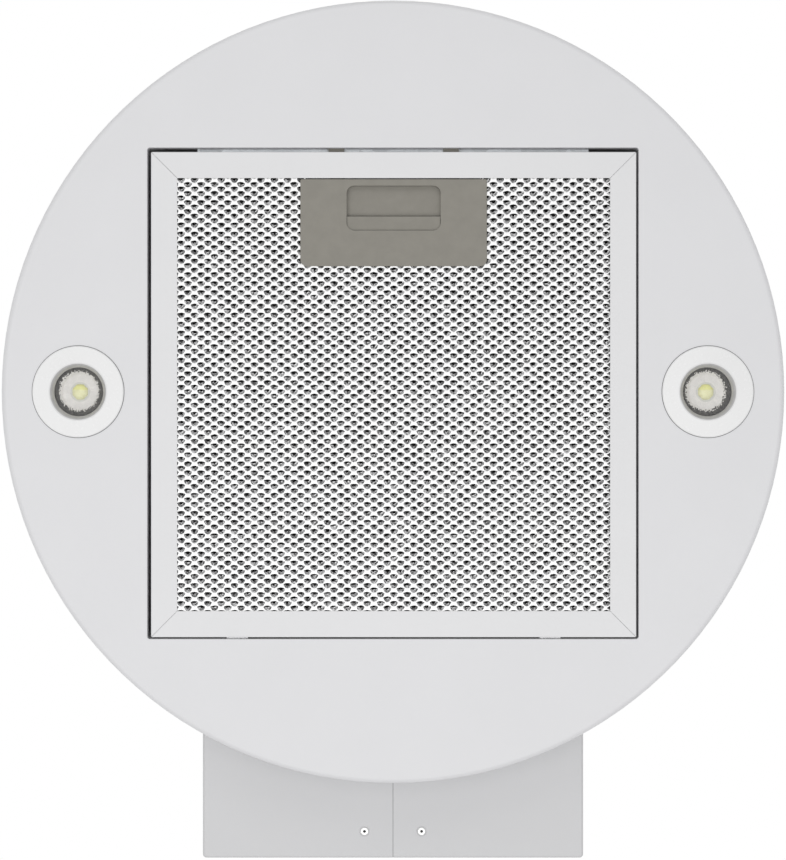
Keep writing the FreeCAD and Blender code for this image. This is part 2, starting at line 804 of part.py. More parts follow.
def supply_gland():
    """Cable gland through the deck and the canopy's top, and its lock nut."""
    z_low = z_cover_under - 8
    body = rod(gland_radius, Vector(0, gland_y, z_deck_top), Vector(0, gland_y, z_deck_top + gland_height))
    stem = rod(gland_stem_radius, Vector(0, gland_y, z_low), Vector(0, gland_y, z_deck_top))
    body = body.fuse(stem).cut(rod(gland_bore_radius, Vector(0, gland_y, z_low),
                                   Vector(0, gland_y, z_deck_top + gland_height)))
    nut = tube(gland_radius + 1, gland_stem_radius + touch, Vector(0, gland_y, z_cover_under - 3),
               Vector(0, gland_y, z_cover_under))
    return [body, nut]


# ---------------------------------------------------------------- motor box and blower
def motor_box():
    half = motor_box_size / 2
    case = prism(half, half, 2.0, z_deck_top, z_box_roof)
    flange_half = half + motor_box_flange
    case = case.fuse(prism(flange_half, flange_half, 3.0, z_deck_top, z_deck_top + sheet))
    case = case.cut(prism(half - sheet, half - sheet, 1.0, z_deck_top, z_box_roof - sheet))
    outlet = collar_radius - collar_wall - collar_ledge
    return case.cut(rod(outlet, Vector(0, 0, z_box_roof - sheet), Vector(0, 0, z_box_roof)))


def scroll_face(y):
    """The volute outline: three growing quarter turns and a throat up to the roof."""
    def at(x, z):
        return Vector(x, y, blower_z + z)

    def quarter(centre_x, centre_z, radius, first):
        points = []
        for angle in (first, first + 45, first + 90):
            turn = math.radians(angle)
            points.append(at(centre_x + radius * math.cos(turn), centre_z + radius * math.sin(turn)))
        return Part.Arc(*points).toShape()

    grow = scroll_growth
    start = scroll_start_radius
    roof = motor_box_height - sheet - blower_axis_height
    right = scroll_shift + grow + start + 2 * grow
    lip = at(scroll_shift, start)
    corners = [at(right, grow), at(right, throat_straight), at(throat_half_width, roof),
               at(-throat_half_width, roof), lip]
    edges = [
        quarter(scroll_shift, 0, start, 90),
        quarter(scroll_shift + grow, 0, start + grow, 180),
        quarter(scroll_shift + grow, grow, start + 2 * grow, 270),
    ]
    for first, second in zip(corners, corners[1:]):
        edges.append(Part.makeLine(first, second))
    return Part.Face(Part.Wire(edges))


def scroll_half(side):
    """Half of the scroll housing, open at the middle plane and at the outlet."""
    depth = scroll_width / 2
    face = scroll_face(0)
    outer = face.extrude(Vector(0, side * depth, 0))
    inner_face = face.makeOffset2D(-scroll_wall)
    inner = inner_face.extrude(Vector(0, side * (depth - scroll_wall), 0))
    roof = z_box_roof - sheet
    y0, y1 = sorted((0, side * (depth - scroll_wall)))
    half = throat_half_width - 2 * scroll_wall
    mouth = box(-half, half, y0, y1, roof - 2 * scroll_wall, roof)
    inlet = rod(inlet_radius, Vector(impeller_x, 0, blower_z), Vector(impeller_x, side * (depth + 1), blower_z))
    return outer.cut(inner).cut(mouth).cut(inlet)


def impeller():
    """Double-inlet wheel: centre disc, hub, end rings and forward-curved blades."""
    half = impeller_width / 2
    bore = shaft_radius + shaft_fit

    def along(radius, y0, y1):
        return rod(radius, Vector(impeller_x, y0, blower_z), Vector(impeller_x, y1, blower_z))

    wheel = along(impeller_radius, -1.25, 1.25)
    for side in (-1, 1):
        y0, y1 = sorted((side * (half - 2), side * half))
        wheel = wheel.fuse(along(impeller_radius, y0, y1).cut(along(impeller_inner_radius, y0, y1)))
    blades = []
    for step in range(blade_count):
        points = []
        for radius, turn in ((impeller_inner_radius + 0.3, 0.0), (76.5, 0.5), (impeller_radius - 0.3, 4.0),
                             (impeller_radius - 0.3, 4.8), (76.2, 1.4), (impeller_inner_radius + 0.3, 0.9)):
            angle = math.radians(turn + step * 360.0 / blade_count)
            points.append(Vector(impeller_x + radius * math.cos(angle), -half + 0.5,
                                 blower_z + radius * math.sin(angle)))
        outline = [Part.Arc(points[0], points[1], points[2]).toShape(), Part.makeLine(points[2], points[3]),
                   Part.Arc(points[3], points[4], points[5]).toShape(), Part.makeLine(points[5], points[0])]
        blades.append(Part.Face(Part.Wire(outline)).extrude(Vector(0, impeller_width - 1, 0)))
    wheel = wheel.multiFuse(blades)
    return wheel.fuse(along(12.0, -1.25, 22.0)).cut(along(bore, -half, half))


def on_axis(y):
    return Vector(impeller_x, y, blower_z)


def motor_can():
    """Closed round can; its rear end reaches into the wheel."""
    can = rod(motor_radius, on_axis(-motor_front), on_axis(-motor_rear))
    inside = rod(motor_radius - motor_wall, on_axis(-motor_front + motor_wall), on_axis(-motor_rear - motor_wall))
    can = can.cut(inside)
    for y0, y1 in ((-motor_front + motor_wall, -motor_front + 7), (-motor_rear - 7, -motor_rear - motor_wall)):
        can = can.fuse(tube(12.0, 9.0 + touch, on_axis(y0), on_axis(y1)))
    return can.cut(rod(shaft_radius + 0.5, on_axis(-motor_front), on_axis(-motor_rear)))


def motor_bearings():
    front = tube(9.0, shaft_radius + shaft_fit, on_axis(-motor_front + motor_wall), on_axis(-motor_front + 7))
    rear = tube(9.0, shaft_radius + shaft_fit, on_axis(-motor_rear - 7), on_axis(-motor_rear - motor_wall))
    return [front, rear]


def motor_stator():
    return tube(motor_radius - motor_wall - touch, 22.0, on_axis(-motor_front + 14), on_axis(-motor_rear - 14))


def motor_rotor():
    """Shaft with the rotor core pressed on it."""
    shaft = rod(shaft_radius, on_axis(-motor_front + 2.5), on_axis(22.0))
    core = rod(21.5, on_axis(-motor_front + 15), on_axis(-motor_rear - 15))
    return shaft.fuse(core)


def grommet_centres():
    places = []
    for step in range(3):
        angle = math.radians(90 + 120 * step)
        places.append((impeller_x + grommet_circle * math.cos(angle), blower_z + grommet_circle * math.sin(angle)))
    return places


def motor_bracket():
    """Three-armed spider across the front inlet; the motor is fixed to its ring."""
    y0 = -bracket_front
    y1 = y0 + bracket_sheet
    spider = tube(motor_radius - 8, 12.0, on_axis(y0), on_axis(y1))
    for step in range(3):
        arm = box(impeller_x + 30, impeller_x + grommet_circle + 6, y0, y1, blower_z - 7, blower_z + 7)
        arm.rotate(on_axis(0), Vector(0, -1, 0), 90 + 120 * step)
        spider = spider.fuse(arm)
    return spider.fuse(tube(motor_radius - 8, 24.0, on_axis(y1), on_axis(-motor_front))).removeSplitter()


def motor_grommets():
    depth = scroll_width / 2
    y1 = -bracket_front + bracket_sheet
    return [tube(grommet_radius, 2.0, Vector(x, y1, z), Vector(x, -depth, z)) for x, z in grommet_centres()]


# ---------------------------------------------------------------- outlet and damper
z_damper = z_box_roof + damper_height
collar_inner = collar_radius - collar_wall


def outlet_collar():
    foot = Vector(0, 0, z_box_roof)
    collar = tube(collar_radius, collar_inner, foot, foot + Vector(0, 0, collar_height))
    flange = tube(collar_radius + collar_flange, collar_inner, foot, foot + Vector(0, 0, 2.0))
    z_ledge = z_damper - damper_pin_radius - 0.2
    ledge = tube(collar_inner, collar_inner - collar_ledge, foot, Vector(0, 0, z_ledge))
    return collar.fuse([flange, ledge]).removeSplitter()


def damper_pins():
    y = damper_pin_offset
    reach = math.sqrt(collar_inner ** 2 - (y + damper_pin_radius) ** 2) - touch
    rear = rod(damper_pin_radius, Vector(-reach, y, z_damper), Vector(reach, y, z_damper))
    return [rear, mirror_y(rear)]


def damper_flap():
    """The rear flap: half a disc with a knuckle round its pin."""
    radius = collar_inner - damper_edge_gap
    low = z_damper - damper_sheet / 2
    disc = rod(radius, Vector(0, 0, low), Vector(0, 0, low + damper_sheet))
    keep = box(-radius, radius, damper_pin_offset, radius, low, low + damper_sheet)
    knuckle = rod(damper_knuckle_radius, Vector(-60, damper_pin_offset, z_damper),
                  Vector(60, damper_pin_offset, z_damper))
    pin_room = rod(damper_pin_radius + shaft_fit, Vector(-radius, damper_pin_offset, z_damper),
                   Vector(radius, damper_pin_offset, z_damper))
    side_gap = box(-radius, radius, damper_pin_offset, damper_pin_offset + 3.0, low, low + damper_sheet)
    side_gap = side_gap.cut(box(-60, 60, 0, radius, low, low + damper_sheet))
    return disc.common(keep).cut(side_gap).fuse(knuckle).cut(pin_room)


# ---------------------------------------------------------------- filter cassette
def filter_frame():
    """Whole channel frame round the mesh, before it is cut at the mitres."""
    frame = prism(filter_half, filter_half, 0.8, z_under, z_filter_top, filter_x, filter_y)
    frame = foot_rounded(frame, z_under, rail_edge_round)
    window = filter_half - rail_face
    frame = frame.cut(prism(window, window, 0.5, z_under, z_filter_top, filter_x, filter_y))
    channel = filter_half - rail_sheet
    return frame.cut(prism(channel, channel, 0.3, z_under + rail_sheet, z_filter_top - rail_sheet,
                           filter_x, filter_y))


def filter_rails():
    """The four mitred rails, front first, then right, rear and left."""
    frame = filter_frame()
    for side in (-1, 1):
        wide = tongue_width / 2 + tongue_slot_gap
        x = filter_x + side * tongue_x
        frame = frame.cut(box(x - wide, x + wide, filter_front - 1, filter_front + 2 * rail_sheet,
                              z_latch - 0.7, z_latch_top + 0.7))
    reach = filter_half + 5
    rails = []
    for turn in range(4):
        tip = Vector(filter_x, filter_y - mitre_gap, z_under - 1)
        corners = [tip, tip + Vector(-reach, -reach, 0), tip + Vector(reach, -reach, 0), tip]
        wedge = Part.Face(Part.makePolygon(corners)).extrude(Vector(0, 0, filter_height + 2))
        wedge.rotate(Vector(filter_x, filter_y, 0), Vector(0, 0, 1), 90 * turn)
        rails.append(frame.common(wedge))
    return rails


def filter_mesh():
    """The pack of expanded mesh as one plain slab, notched round the handle."""
    half = filter_half - rail_sheet - mesh_gap
    z0 = z_under + rail_sheet + mesh_gap
    z1 = z_filter_top - rail_sheet - mesh_gap
    slab = box(filter_x - half, filter_x + half, filter_y - half, filter_y + half, z0, z1)
    notch = handle_width / 2 + 2 * mesh_gap
    return slab.cut(box(filter_x - notch, filter_x + notch, filter_front, handle_rear + 2 * mesh_gap, z0, z1))


def pocket_shape(z0, z1):
    """The grip pocket's rounded outline between two heights."""
    y = handle_front + pocket_front + pocket_depth / 2
    return prism(pocket_width / 2, pocket_depth / 2, pocket_corner, z0, z1, filter_x, y)


tab_rear = handle_front + pocket_front + pocket_depth - tab_gap
tab_front = tab_rear - tab_depth
latch_rear = tab_rear + 1.0
spring_room = 3.0


def filter_handle():
    """Moulded grip housing with a pocket below and the latch slide above it."""
    z_top = z_under + handle_height
    half = handle_width / 2
    body = box(filter_x - half, filter_x + half, handle_front, handle_rear, z_under, z_top)
    rear = [edge for edge in body.Edges if upright(edge) and edge.BoundBox.YMin > handle_rear - 1]
    body = body.makeFillet(handle_rear_corner, rear)
    front = [edge for edge in body.Edges if upright(edge) and edge.BoundBox.YMax < handle_front + 1]
    body = body.makeFillet(handle_front_corner, front)
    body = foot_rounded(body, z_under, 0.5)
    body = body.cut(pocket_shape(z_under, z_pocket))
    room = latch_half_width + 1.5
    cavity = box(filter_x - room, filter_x + room, handle_front - 1, latch_rear + latch_travel + 0.8,
                 z_latch - tab_gap, z_latch_top + tab_gap)
    tab_half = pocket_width / 2 + tab_gap
    well = box(filter_x - tab_half, filter_x + tab_half, tab_front - tab_gap - 0.5,
               tab_rear + latch_travel + tab_gap, z_under + handle_skin, z_latch)
    body = body.cut(cavity).cut(well)
    for side in (-1, 1):
        x = filter_x + side * tongue_x
        body = body.cut(box(x - spring_room, x + spring_room, latch_rear, latch_rear + spring_length + 1,
                            z_latch_top + tab_gap - 2 * spring_room, z_latch_top + tab_gap))
    return body


def latch_slider():
    """Finger tab, slide plate and the two tongues that reach through the front rail."""
    tab_half = pocket_width / 2 - tab_gap
    tab = box(filter_x - tab_half, filter_x + tab_half, tab_front, tab_rear,
              z_under + handle_skin + tab_gap, z_latch)
    plate = box(filter_x - latch_half_width, filter_x + latch_half_width, handle_front + 1, latch_rear,
                z_latch, z_latch_top)
    slider = tab.fuse(plate)
    tip = flange_front - sheet - tongue_reach
    for side in (-1, 1):
        x = filter_x + side * tongue_x
        half = tongue_width / 2
        arm = box(x - half, x + half, tip, handle_front + 2, z_latch, z_latch_top)
        slope = []
        for edge in arm.Edges:
            bound = edge.BoundBox
            if bound.YMax < tip + 1e-3 and bound.ZMin > z_latch_top - 1e-3:
                slope.append(edge)
        slider = slider.fuse(arm.makeChamfer(latch_sheet * 0.6, slope))
    return slider.removeSplitter()


def latch_springs():
    """Folded strip springs between the slide and the rear wall of the handle."""
    springs = []
    fold = (spring_length - spring_strip) / spring_folds
    z = z_latch_top + tab_gap - spring_room - spring_height / 2
    for side in (-1, 1):
        x = filter_x + side * tongue_x
        legs = []
        for step in range(spring_folds):
            x0 = x - spring_reach if step % 2 else x + spring_reach
            x1 = x + spring_reach if step % 2 else x - spring_reach
            y0 = latch_rear + spring_strip + step * fold
            y1 = y0 + fold
            thick = Vector(0, spring_strip, 0)
            start, end = Vector(x0, y0, z), Vector(x1, y1, z)
            corners = [start, end, end + thick, start + thick, start]
            legs.append(Part.Face(Part.makePolygon(corners)).extrude(Vector(0, 0, spring_height)))
        springs.append(legs[0].multiFuse(legs[1:]).removeSplitter())
    return springs


def filter_lugs():
    """Hook lugs on the rear rail, which the cassette swings on."""
    lugs = []
    z0 = z_under + lug_rise
    for side in (-1, 1):
        x = filter_x + side * lug_x
        half = lug_width / 2
        lugs.append(box(x - half, x + half, filter_rear, flange_rear + sheet + lug_reach, z0, z0 + lug_sheet))
    return lugs


# ---------------------------------------------------------------- build
def build():
    os.makedirs("parts", exist_ok=True)
    save("ceiling_plate", ceiling_plate())
    save("upper_posts", *upper_posts())
    save("lower_posts", *lower_posts())
    save("frame_bolts", *frame_bolts())
    upper = upper_chimney()
    lower = lower_chimney()
    for name, side in (("left", -1), ("right", 1)):
        save("upper_chimney_" + name, half_of(upper, side))
        save("lower_chimney_" + name, half_of(lower, side))
    z_strap = -plate_sheet - plate_flange - 2
    save("upper_chimney_straps", *straps(upper_y - sheet, z_strap - upper_strap_height, z_strap))
    z_strap = z_deck_top + 0.5
    save("lower_chimney_straps", *straps(lower_y - sheet, z_strap, z_strap + lower_strap_height))
    plate_screws = [screw(seat, inward, 6.5) for seat, inward in plate_screw_seats(upper_y)]
    save("plate_screws", *plate_screws)
    save("chimney_rivets", *chimney_rivets())
    save("motor_deck", motor_deck())

    save("canopy_pan", canopy_pan())
    save("canopy_top", canopy_top())
    save("canopy_screws", *canopy_screws())
    save("filter_stop_strip", filter_stop_strip())

    for name, side in (("left", -1), ("right", 1)):
        save("lamp_bezel_" + name, lamp_bezel(side * lamp_x))
        save("lamp_lens_" + name, lamp_lens(side * lamp_x))
        save("led_module_" + name, led_module(side * lamp_x))
    save("lamp_reflectors", lamp_reflector(-lamp_x), lamp_reflector(lamp_x))
    save("lamp_heat_sinks", lamp_housing(-lamp_x), lamp_housing(lamp_x))
    save("lamp_clips", *(lamp_clips(-lamp_x) + lamp_clips(lamp_x)))

    save("control_fascia", control_fascia())
    for index, angle in enumerate(button_angles()):
        save("button_" + str(index + 1), button(angle))
    save("button_board", button_board())
    save("control_box", control_box())
    save("control_box_lid", control_box_lid())
    save("motor_capacitor", capacitor())
    save("supply_gland", *supply_gland())

    save("motor_box", motor_box())
    save("scroll_front", scroll_half(-1))
    save("scroll_rear", scroll_half(1))
    save("impeller", impeller())
    save("motor_can", motor_can())
    save("motor_bearings", *motor_bearings())
    save("motor_stator", motor_stator())
    save("motor_rotor", motor_rotor())
    save("motor_bracket", motor_bracket())
    save("motor_grommets", *motor_grommets())
    save("outlet_collar", outlet_collar())
    save("damper_pins", *damper_pins())
    flap = damper_flap()
    save("damper_flap_rear", flap)
    save("damper_flap_front", mirror_y(flap))

    for name, rail in zip(("front", "right", "rear", "left"), filter_rails()):
        save("filter_rail_" + name, rail)
    save("filter_mesh", filter_mesh())
    save("filter_handle", filter_handle())
    save("latch_slider", latch_slider())
    save("latch_springs", *latch_springs())
    save("filter_lugs", *filter_lugs())


build()
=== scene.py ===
import json
import math
import random
import bpy
import bmesh
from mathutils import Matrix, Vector


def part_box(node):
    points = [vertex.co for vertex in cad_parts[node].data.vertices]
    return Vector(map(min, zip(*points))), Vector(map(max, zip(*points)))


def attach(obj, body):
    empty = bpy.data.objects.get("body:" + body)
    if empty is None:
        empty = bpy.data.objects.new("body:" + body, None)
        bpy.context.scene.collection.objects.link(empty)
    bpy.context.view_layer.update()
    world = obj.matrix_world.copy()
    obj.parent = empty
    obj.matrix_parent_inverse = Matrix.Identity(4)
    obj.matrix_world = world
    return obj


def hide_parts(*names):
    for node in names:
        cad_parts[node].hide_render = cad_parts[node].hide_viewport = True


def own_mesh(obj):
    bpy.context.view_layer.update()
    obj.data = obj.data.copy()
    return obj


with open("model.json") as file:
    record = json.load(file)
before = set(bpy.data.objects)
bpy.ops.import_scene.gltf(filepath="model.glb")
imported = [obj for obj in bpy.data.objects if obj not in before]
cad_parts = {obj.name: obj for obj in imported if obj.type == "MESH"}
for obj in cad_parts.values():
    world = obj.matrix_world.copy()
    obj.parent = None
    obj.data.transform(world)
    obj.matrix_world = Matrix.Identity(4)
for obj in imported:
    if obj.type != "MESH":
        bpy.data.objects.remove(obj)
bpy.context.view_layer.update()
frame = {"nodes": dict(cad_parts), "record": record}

# An island range hood seen from straight below: a round white canopy with a
# square filter of expanded metal, two lamps, and the chimney's foot behind it.
# Metres, +Z up, front towards -Y, as in the frame.

MM = 0.001
record = frame["record"]
canopy_low, canopy_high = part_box("canopy_pan")
canopy = (canopy_low + canopy_high) / 2
underside = canopy_low.z
canopy_radius = (canopy_high.x - canopy_low.x) / 2


# ---------------------------------------------------------------- materials
def value_between(tree, source, low, high):
    """A texture's value spread between two numbers."""
    spread = tree.nodes.new("ShaderNodeMapRange")
    spread.inputs["From Min"].default_value = 0.3
    spread.inputs["From Max"].default_value = 0.7
    spread.inputs["To Min"].default_value = low
    spread.inputs["To Max"].default_value = high
    tree.links.new(source, spread.inputs["Value"])
    return spread.outputs["Result"]


def colour_between(tree, source, first, second, start=0.3, end=0.7):
    """A texture's value turned into a colour between two."""
    ramp = tree.nodes.new("ShaderNodeValToRGB")
    ramp.color_ramp.elements[0].position = start
    ramp.color_ramp.elements[0].color = (*first, 1)
    ramp.color_ramp.elements[1].position = end
    ramp.color_ramp.elements[1].color = (*second, 1)
    tree.links.new(source, ramp.inputs["Fac"])
    return ramp.outputs["Color"]


def noise(tree, size, stretch=(1, 1, 1), detail=3.0):
    """A noise texture whose spots are about this size, on the object's own coordinates."""
    place = tree.nodes.new("ShaderNodeTexCoord")
    mapping = tree.nodes.new("ShaderNodeMapping")
    mapping.inputs["Scale"].default_value = stretch
    texture = tree.nodes.new("ShaderNodeTexNoise")
    texture.inputs["Scale"].default_value = 1 / size
    texture.inputs["Detail"].default_value = detail
    tree.links.new(place.outputs["Object"], mapping.inputs["Vector"])
    tree.links.new(mapping.outputs["Vector"], texture.inputs["Vector"])
    return texture.outputs["Fac"]


def cells(tree, size, output="Color"):
    """Crystal-like cells of about this size."""
    place = tree.nodes.new("ShaderNodeTexCoord")
    texture = tree.nodes.new("ShaderNodeTexVoronoi")
    texture.inputs["Scale"].default_value = 1 / size
    tree.links.new(place.outputs["Object"], texture.inputs["Vector"])
    return texture.outputs[output]


def tinted(colour, factor):
    return tuple(min(1.0, channel * factor) for channel in colour)


def finish(name, colour, rough, metal=0.0, mottle=0.03, mottle_size=60 * MM, grain=0.8 * MM,
           depth=0.01 * MM, stretch=(1, 1, 1), spread=0.06, crystal=0.0):
    """A material with colour, roughness and fine relief that vary over the surface."""
    material = bpy.data.materials.new(name)
    material.use_nodes = True
    tree = material.node_tree
    shader = tree.nodes["Principled BSDF"]
    shader.inputs["Metallic"].default_value = metal
    patches = cells(tree, crystal) if crystal else noise(tree, mottle_size)
    base = colour_between(tree, patches, tinted(colour, 1 - mottle), tinted(colour, 1 + mottle))
    tree.links.new(base, shader.inputs["Base Color"])
    fine = noise(tree, grain, stretch)
    tree.links.new(value_between(tree, fine, rough - spread, rough + spread), shader.inputs["Roughness"])
    bump = tree.nodes.new("ShaderNodeBump")
    bump.inputs["Strength"].default_value = 1.0
    bump.inputs["Distance"].default_value = depth
    tree.links.new(fine, bump.inputs["Height"])
    tree.links.new(bump.outputs["Normal"], shader.inputs["Normal"])
    return material


def shader_of(material):
    return material.node_tree.nodes["Principled BSDF"]


white_enamel = finish("white_enamel", (0.775, 0.775, 0.79), 0.42, mottle=0.008, grain=1.6 * MM,
                      depth=0.006 * MM)
filter_frame = finish("filter_frame", (0.79, 0.79, 0.80), 0.36, mottle=0.008, grain=1.6 * MM,
                      depth=0.005 * MM)
lamp_white = finish("lamp_white", (0.87, 0.87, 0.87), 0.24, mottle=0.006, grain=2.5 * MM,
                    depth=0.003 * MM)
handle_plastic = finish("handle_plastic", (0.262, 0.248, 0.215), 0.55, mottle=0.04, mottle_size=9 * MM,
                        grain=0.45 * MM, depth=0.03 * MM)
galvanised = finish("galvanised_steel", (0.56, 0.58, 0.60), 0.42, metal=0.9, mottle=0.14,
                    crystal=11 * MM, grain=1.2 * MM, depth=0.01 * MM)
aluminium = finish("aluminium", (0.80, 0.80, 0.81), 0.34, metal=1.0, mottle=0.04, grain=0.5 * MM,
                   stretch=(1, 1, 0.06), depth=0.01 * MM)
dark_plastic = finish("dark_plastic", (0.035, 0.036, 0.038), 0.5, mottle=0.12, mottle_size=12 * MM,
                      grain=0.5 * MM, depth=0.03 * MM)
button_plastic = finish("button_plastic", (0.70, 0.70, 0.71), 0.38, mottle=0.02, mottle_size=6 * MM,
                        grain=0.4 * MM, depth=0.015 * MM)
spring_steel = finish("spring_steel", (0.46, 0.46, 0.47), 0.28, metal=1.0, mottle=0.08,
                      mottle_size=5 * MM, grain=0.3 * MM, depth=0.006 * MM)
fastener = finish("fastener", (0.66, 0.66, 0.65), 0.30, metal=1.0, mottle=0.08, mottle_size=3 * MM,
                  grain=0.4 * MM, depth=0.01 * MM)
black_steel = finish("black_steel", (0.03, 0.03, 0.032), 0.45, metal=0.4, mottle=0.15,
                     mottle_size=8 * MM, grain=0.9 * MM, depth=0.02 * MM)
rubber = finish("rubber", (0.022, 0.022, 0.022), 0.75, mottle=0.15, mottle_size=4 * MM,
                grain=0.4 * MM, depth=0.03 * MM)
circuit_board = finish("circuit_board", (0.03, 0.17, 0.07), 0.35, mottle=0.35, crystal=3.5 * MM,
                       grain=0.6 * MM, depth=0.02 * MM)
led_board = finish("led_board", (0.72, 0.72, 0.68), 0.4, mottle=0.05, mottle_size=4 * MM,
                   grain=0.5 * MM, depth=0.01 * MM)
strand_face = finish("strand_face", (0.99, 0.99, 0.99), 0.36, metal=0.2, mottle=0.02,
                     mottle_size=14 * MM, grain=0.6 * MM, depth=0.01 * MM)
# Grey for the sheared lips of the white-painted mesh: painted shade in the holes.
strand_edge_painted_shade = finish("strand_edge_painted_shade", (0.50, 0.50, 0.505), 0.36, metal=0.5, mottle=0.75,
                     crystal=1.1 * MM, grain=0.5 * MM, depth=0.02 * MM)
# Grey with strong random variation for the middle mesh sheet: painted shade behind the face sheet.
strand_inner_painted_shade = finish("strand_inner_painted_shade", (0.55, 0.55, 0.555), 0.4, metal=0.4, mottle=0.9,
                      crystal=1.9 * MM, grain=0.6 * MM, depth=0.02 * MM)
# Near-black for the deepest mesh sheet and the middle sheet's lips: painted shade inside the filter.
strand_back_painted_shade = finish("strand_back_painted_shade", (0.008, 0.008, 0.008), 0.6, metal=0.0, mottle=0.4,
                     mottle_size=3 * MM, grain=0.6 * MM, depth=0.02 * MM)
lamp_trim = finish("lamp_trim", (0.58, 0.575, 0.57), 0.32, metal=0.25, mottle=0.05,
                   mottle_size=4 * MM, grain=0.4 * MM, depth=0.008 * MM)
dome_phosphor = finish("dome_phosphor", (1.0, 0.98, 0.56), 0.45, mottle=0.10, mottle_size=3 * MM,
                       grain=0.8 * MM, depth=0.02 * MM)
dome_deep = finish("dome_deep", (0.97, 0.96, 0.36), 0.45, mottle=0.08, mottle_size=3 * MM,
                   grain=0.8 * MM, depth=0.02 * MM)
# Near-black for the reflector dish's rim: a painted dark reflection, not the metal's own colour.
dish_rim = finish("dish_rim", (0.03, 0.029, 0.028), 0.4, metal=0.1, mottle=0.9, crystal=0.9 * MM,
                  grain=0.8 * MM, depth=0.03 * MM)
dish_floor = finish("dish_floor", (0.88, 0.86, 0.83), 0.45, mottle=0.05, mottle_size=4 * MM,
                    grain=0.8 * MM, depth=0.02 * MM)
lens_glass = finish("lens_glass", (0.82, 0.81, 0.80), 0.16, mottle=0.02, mottle_size=5 * MM,
                    grain=1.2 * MM, depth=0.01 * MM)
shader_of(lens_glass).inputs["Alpha"].default_value = 0.06

rivet_steel = finish("rivet_steel", (0.86, 0.86, 0.85), 0.34, metal=0.5, mottle=0.05, mottle_size=2 * MM,
                     grain=0.3 * MM, depth=0.006 * MM)
# Dark grey for the thin ring round each lamp bezel: painted shadow in the gap between bezel and canopy.
shadow_gap_grey = finish("shadow_gap_grey", (0.16, 0.16, 0.165), 0.6, mottle=0.08, mottle_size=5 * MM,
                     grain=0.4 * MM, depth=0.01 * MM)
# A darker copy of the white enamel: painted shade for the chimney foot, which lies farther back behind the canopy.
chimney_enamel_painted_shade = finish("chimney_enamel_painted_shade", (0.655, 0.655, 0.665), 0.42, mottle=0.008, grain=1.6 * MM,
                        depth=0.006 * MM)

by_slot = {
    "white_enamel": white_enamel, "galvanised_steel": galvanised, "filter_frame": filter_frame,
    "filter_mesh": strand_face, "handle_plastic": handle_plastic, "lamp_white": lamp_white,
    "lens_glass": lens_glass, "reflector": aluminium, "led_board": led_board, "fastener": fastener,
    "dark_plastic": dark_plastic, "button_plastic": button_plastic, "circuit_board": circuit_board,
    "spring_steel": spring_steel, "black_steel": black_steel, "aluminium": aluminium, "rubber": rubber,
}
for part in record["subparts"]:
    for holder in frame["nodes"][part["node"]].material_slots:
        holder.material = by_slot[part["material_slot"]]
# Both chimney halves take the darker enamel copy, as painted shade.
for end in ("upper", "lower"):
    for side in ("left", "right"):
        frame["nodes"][end + "_chimney_" + side].material_slots[0].material = chimney_enamel_painted_shade
frame["nodes"]["chimney_rivets"].material_slots[0].material = rivet_steel


# ---------------------------------------------------------------- helpers for pieces
def new_piece(name, verts, faces, materials, indices=None, smooth=False):
    """A mesh object from points and faces, welded where points meet."""
    mesh = bpy.data.meshes.new(name)
    mesh.from_pydata(verts, [], faces)
    for material in materials:
        mesh.materials.append(material)
    if indices:
        mesh.polygons.foreach_set("material_index", indices)
    body = bmesh.new()
    body.from_mesh(mesh)
    bmesh.ops.remove_doubles(body, verts=body.verts, dist=0.001 * MM)
    bmesh.ops.dissolve_degenerate(body, edges=body.edges, dist=0.0005 * MM)
    body.to_mesh(mesh)
    body.free()
    mesh.polygons.foreach_set("use_smooth", [smooth] * len(mesh.polygons))
    piece = bpy.data.objects.new(name, mesh)
    bpy.context.scene.collection.objects.link(piece)
    return piece


def lathe(name, centre, profile, materials, steps=72, smooth=True, closed=True, index_of=None):
    """A surface turned about an upright axis from radius and height pairs."""
    verts, faces, indices = [], [], []
    count = len(profile)
    for step in range(steps):
        angle = 2 * math.pi * step / steps
        for radius, z in profile:
            verts.append((centre.x + radius * math.cos(angle), centre.y + radius * math.sin(angle), z))
    for step in range(steps):
        here = step * count
        there = (step + 1) % steps * count
        for k in range(count if closed else count - 1):
            after = (k + 1) % count
            faces.append((here + k, there + k, there + after, here + after))
            indices.append(index_of(k) if index_of else 0)
    return new_piece(name, verts, faces, materials, indices, smooth)


# ---------------------------------------------------------------- expanded metal filter
mesh_low, mesh_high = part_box("filter_mesh")
rail_low, rail_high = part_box("filter_rail_left")
handle_low, handle_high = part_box("filter_handle")
rail_width = 20 * MM
hole_pitch = 10.18 * MM       # along X
row_pitch = 3.45 * MM         # along Y, every second row shifted by half a hole
tuck = 3 * MM                 # how far the mesh runs on under the rails
window_low = Vector((mesh_low.x + rail_width - tuck, mesh_low.y + rail_width - tuck))
window_high = Vector((mesh_high.x - rail_width + tuck, mesh_high.y - rail_width + tuck))

# One cell is a diamond whose corners are the middles of the bonds around a hole.
# The hole is blunt towards the front and shell-shaped towards the rear.
diamond = [(-0.5, 0), (-1 / 3, -1 / 3), (-1 / 6, -2 / 3), (0, -1), (1 / 6, -2 / 3), (1 / 3, -1 / 3),
           (0.5, 0), (1 / 3, 1 / 3), (1 / 6, 2 / 3), (0, 1), (-1 / 6, 2 / 3), (-1 / 3, 1 / 3)]
hole = [(-0.290, -0.20), (-0.250, -0.37), (-0.130, -0.51), (0, -0.56), (0.130, -0.51), (0.250, -0.37),
        (0.290, -0.20), (0.250, 0.12), (0.150, 0.45), (0, 0.63), (-0.150, 0.45), (-0.250, 0.12)]
hole = [(1.05 * u, 1.05 * v) for u, v in hole]
shell_points = (6, 7, 8, 9, 10, 11, 0)


def under_handle(x, y):
    """True where the handle's body fills the mesh's place."""
    inset = 3 * MM
    inside_x = handle_low.x + inset < x < handle_high.x - inset
    return inside_x and y < handle_high.y - inset


